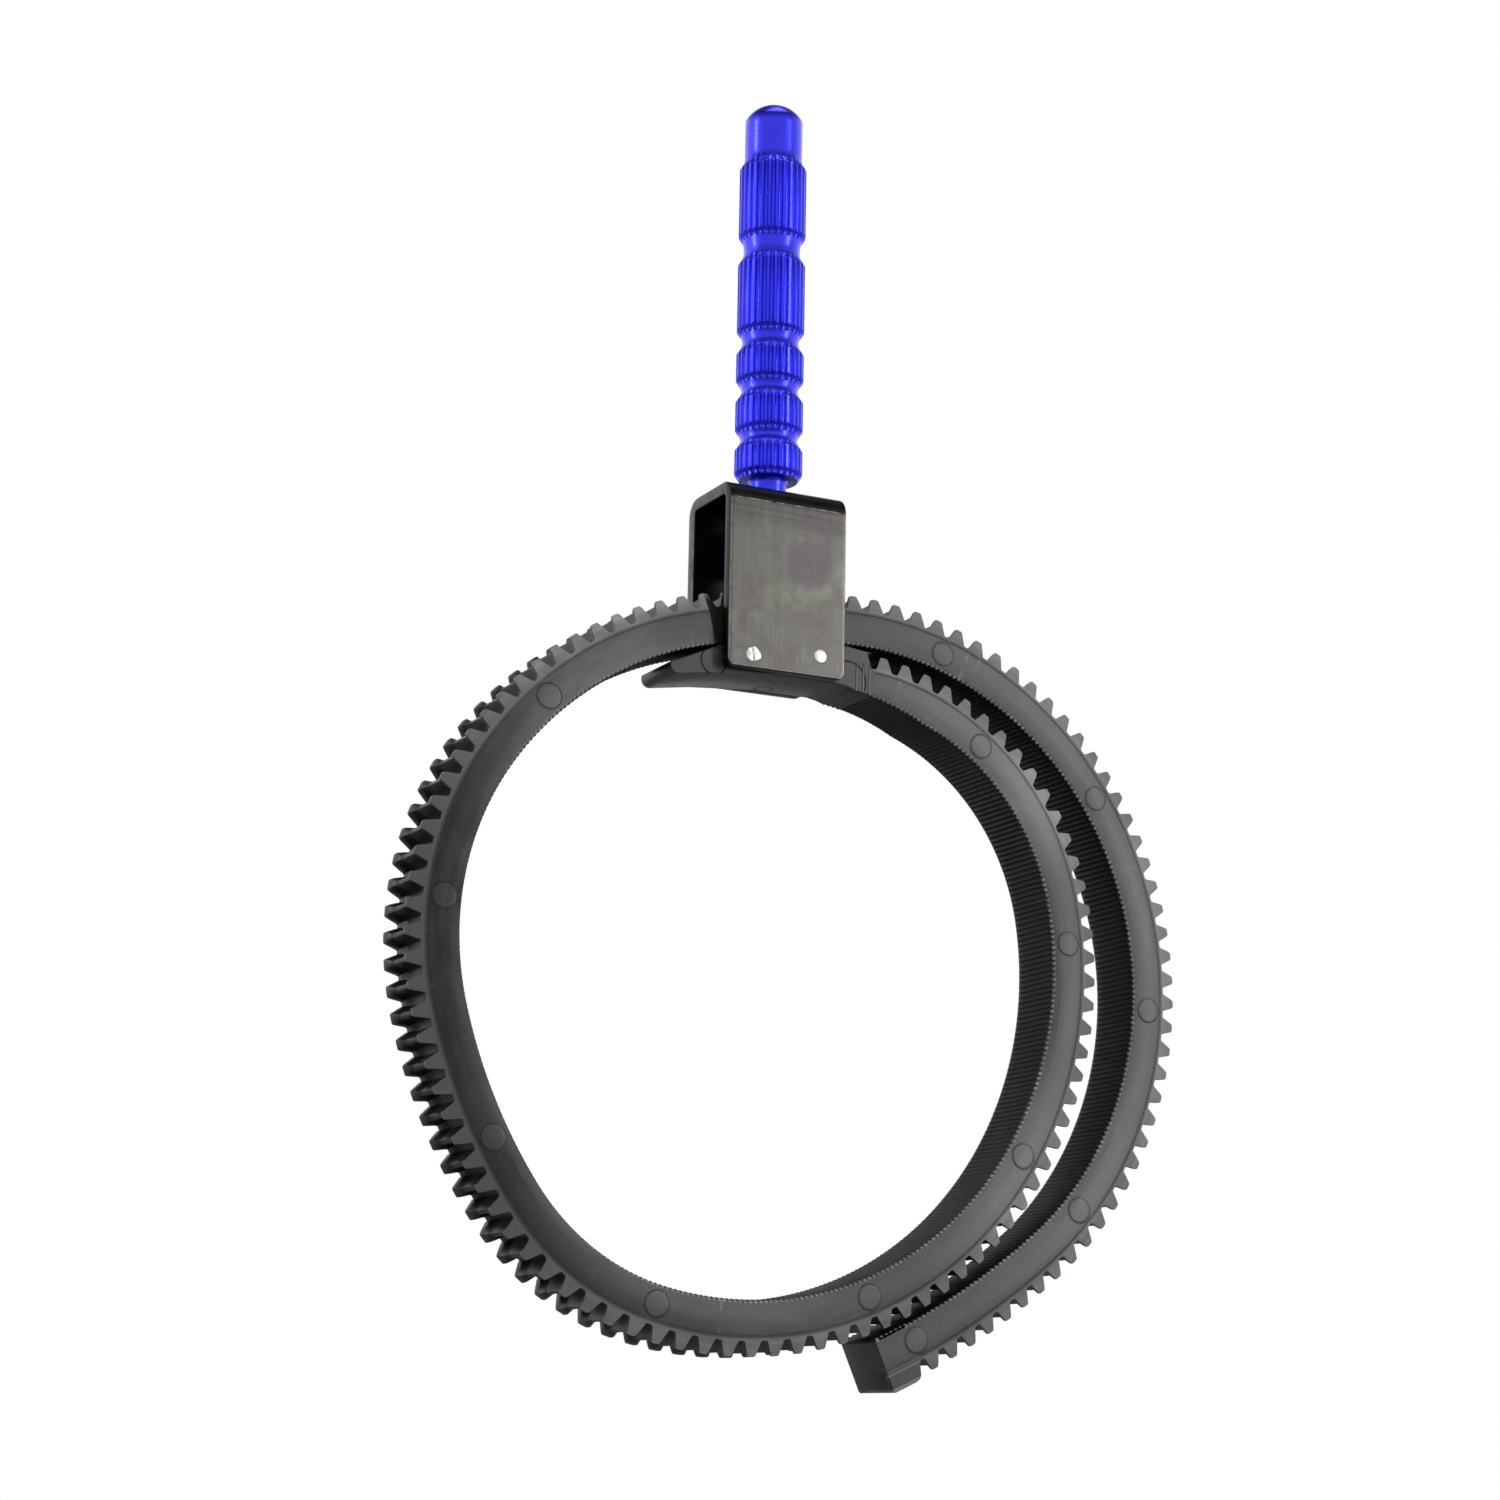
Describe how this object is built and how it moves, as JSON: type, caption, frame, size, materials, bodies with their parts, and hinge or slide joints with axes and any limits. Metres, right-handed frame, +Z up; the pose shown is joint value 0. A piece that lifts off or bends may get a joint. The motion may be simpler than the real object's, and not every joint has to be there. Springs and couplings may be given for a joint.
{
  "type": "follow focus gear ring",
  "caption": "Flexible toothed belt that wraps round a lens and is clamped in a U bracket by a long fluted screw grip.",
  "frame": {"origin": "middle of the lens opening, on the belt's middle plane and under the grip's axis", "axes": "+Z up along the grip, +Y along the lens axis away from the side with the belt's marks, +X to the side where the free tail hangs"},
  "size_m": [0.0911, 0.0106, 0.1409],
  "materials": {
    "belt_plastic": "dull moulded dark grey elastomer",
    "black_steel": "black oxide on bent sheet, handled and scratched",
    "bright_steel": "plain steel",
    "blue_anodised": "blue anodised, satin"
  },
  "bodies": {
    "clamp": {"clamp_bracket": "black_steel", "leg_pins": "bright_steel", "thread_bush": "bright_steel", "gear_belt": "belt_plastic"},
    "foot": {"pressure_foot": "bright_steel"},
    "grip": {"grip": "blue_anodised"},
    "tail_1": {"belt_tail_1": "belt_plastic"},
    "tail_2": {"belt_tail_2": "belt_plastic"},
    "tail_3": {"belt_tail_3": "belt_plastic"},
    "tail_4": {"belt_tail_4": "belt_plastic"},
    "tail_5": {"belt_tail_5": "belt_plastic"},
    "tail_6": {"belt_tail_6": "belt_plastic"}
  },
  "joints": [
    {"name": "foot_press", "type": "slide", "parent": "clamp", "child": "foot", "axis": [0, 0, 1], "range_m": [0, 0.0049]},
    {"name": "grip_turn", "type": "hinge", "parent": "foot", "child": "grip", "pos_m": [0, 0, 0.05], "axis": [0, 0, 1], "range_deg": [0, 2521]},
    {"name": "tail_1_flex", "type": "hinge", "parent": "clamp", "child": "tail_1", "pos_m": [0.01288, 0, 0.04141], "axis": [0, -1, 0], "range_deg": [0, 12], "stiffness_Nm_per_rad": 0.25},
    {"name": "tail_2_flex", "type": "hinge", "parent": "tail_1", "child": "tail_2", "pos_m": [0.03227, 0, 0.03429], "axis": [0, -1, 0], "range_deg": [0, 12], "stiffness_Nm_per_rad": 0.25},
    {"name": "tail_3_flex", "type": "hinge", "parent": "tail_2", "child": "tail_3", "pos_m": [0.0453, 0, 0.01827], "axis": [0, -1, 0], "range_deg": [0, 12], "stiffness_Nm_per_rad": 0.25},
    {"name": "tail_4_flex", "type": "hinge", "parent": "tail_3", "child": "tail_4", "pos_m": [0.04831, 0, -0.00215], "axis": [0, -1, 0], "range_deg": [0, 12], "stiffness_Nm_per_rad": 0.25},
    {"name": "tail_5_flex", "type": "hinge", "parent": "tail_4", "child": "tail_5", "pos_m": [0.04047, 0, -0.02125], "axis": [0, -1, 0], "range_deg": [0, 12], "stiffness_Nm_per_rad": 0.25},
    {"name": "tail_6_flex", "type": "hinge", "parent": "tail_5", "child": "tail_6", "pos_m": [0.02472, 0, -0.03442], "axis": [0, -1, 0], "range_deg": [0, 12], "stiffness_Nm_per_rad": 0.25}
  ],
  "couplings": [
    {"joint": "grip_turn", "follows": "foot_press", "rad_per_m": 8976}
  ]
}
